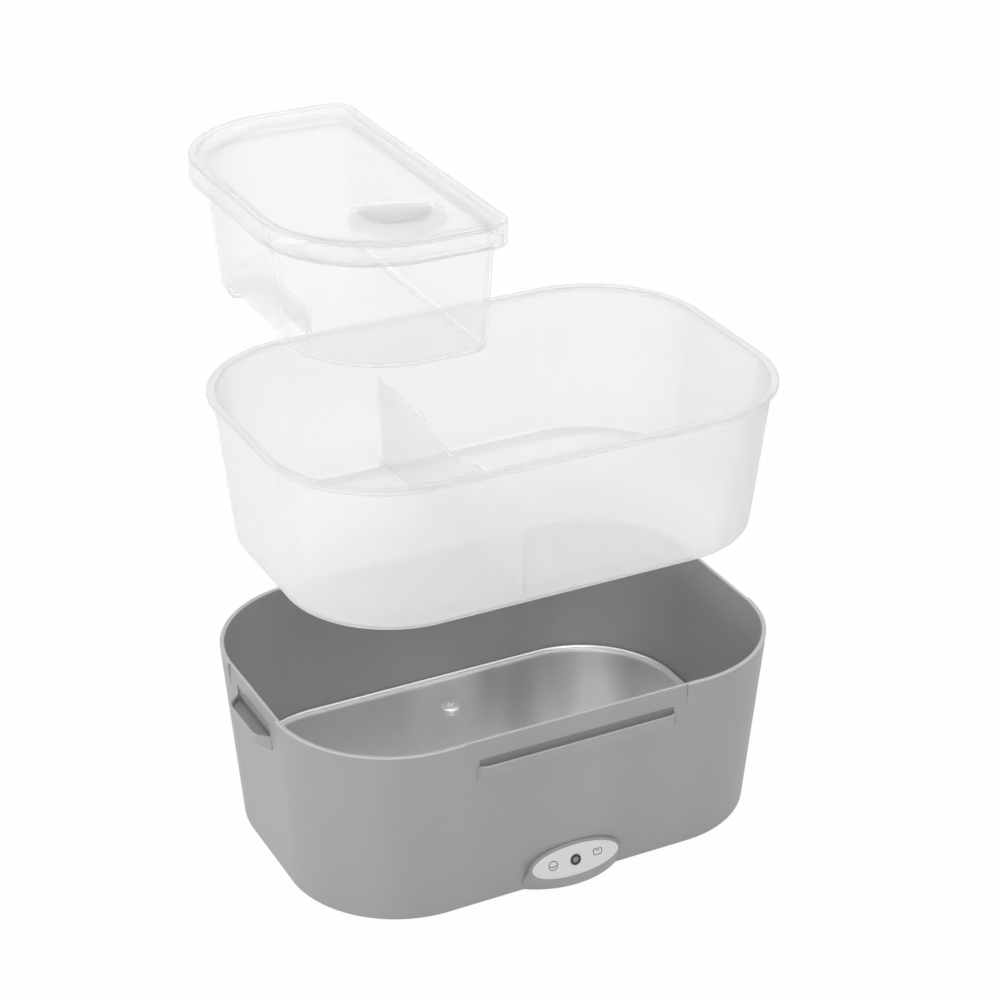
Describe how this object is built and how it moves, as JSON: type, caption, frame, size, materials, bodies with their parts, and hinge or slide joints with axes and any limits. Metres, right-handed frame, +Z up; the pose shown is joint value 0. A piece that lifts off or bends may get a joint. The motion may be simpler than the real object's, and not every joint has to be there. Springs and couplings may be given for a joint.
{
  "type": "electric lunch box",
  "caption": "Electric lunch box: grey heated base with catch lips, frosted divided food tray and a clear side box with a push-on lid, shown lifted above one another.",
  "frame": {"origin": "centre of the base's footprint on the surface it stands on", "axes": "+Z up, +X along the length towards the open end of the tray, -Y towards the front with the indicator"},
  "size_m": [0.2402, 0.1612, 0.3104],
  "materials": {
    "grey_plastic": "satin moulded plastic, mid grey",
    "cover_plastic": "matte moulded plastic, dark grey",
    "foot_rubber": "matte rubber",
    "screw_steel": "zinc-plated steel",
    "plate_steel": "brushed stainless steel with a polished bead",
    "seal_silicone": "white silicone",
    "dome_chrome": "polished",
    "heater_aluminium": "bare aluminium case",
    "strap_steel": "zinc-plated strip",
    "fuse_ceramic": "glazed sleeve",
    "pad_fibre": "pressed fibre",
    "inlet_plastic": "black moulded plastic",
    "pin_brass": "nickel-plated brass",
    "panel_plastic": "pale satin plate",
    "bezel_plastic": "dark ring",
    "lens_plastic": "grey diffusing lens, unlit",
    "led_epoxy": "clear epoxy",
    "board_laminate": "green laminate",
    "lead_brown": "brown insulation",
    "lead_blue": "blue insulation",
    "lead_white": "white twin insulation",
    "frosted_plastic": "frosted translucent polypropylene",
    "clear_plastic": "clear polypropylene",
    "lid_plastic": "clear polypropylene"
  },
  "bodies": {
    "base": {"housing": "grey_plastic", "bottom_cover": "cover_plastic", "rubber_feet": "foot_rubber", "cover_screws": "screw_steel", "heating_plate": "plate_steel", "plate_seal": "seal_silicone", "plate_screw": "dome_chrome", "clamp_nut": "screw_steel", "heater": "heater_aluminium", "heater_clamp": "strap_steel", "thermostat": "strap_steel", "thermal_fuse": "fuse_ceramic", "insulation_pad": "pad_fibre", "power_inlet": "inlet_plastic", "inlet_pins": "pin_brass", "inlet_screws": "screw_steel", "indicator_panel": "panel_plastic", "led_bezel": "bezel_plastic", "led_lens": "lens_plastic", "led": "led_epoxy", "led_board": "board_laminate", "line_lead": "lead_brown", "neutral_lead": "lead_blue", "lamp_lead": "lead_white"},
    "tray": {"food_tray": "frosted_plastic"},
    "side_box": {"side_box": "clear_plastic"},
    "side_lid": {"side_lid": "lid_plastic"}
  },
  "joints": [
    {"name": "tray_lift", "type": "slide", "parent": "base", "child": "tray", "axis": [0, 0, 1], "range_m": [-0.1185, 0]},
    {"name": "side_box_lift", "type": "slide", "parent": "tray", "child": "side_box", "axis": [0, 0, 1], "range_m": [-0.0921, 0]},
    {"name": "side_lid_lift", "type": "slide", "parent": "side_box", "child": "side_lid", "axis": [0, 0, 1], "range_m": [0, 0.035]}
  ]
}
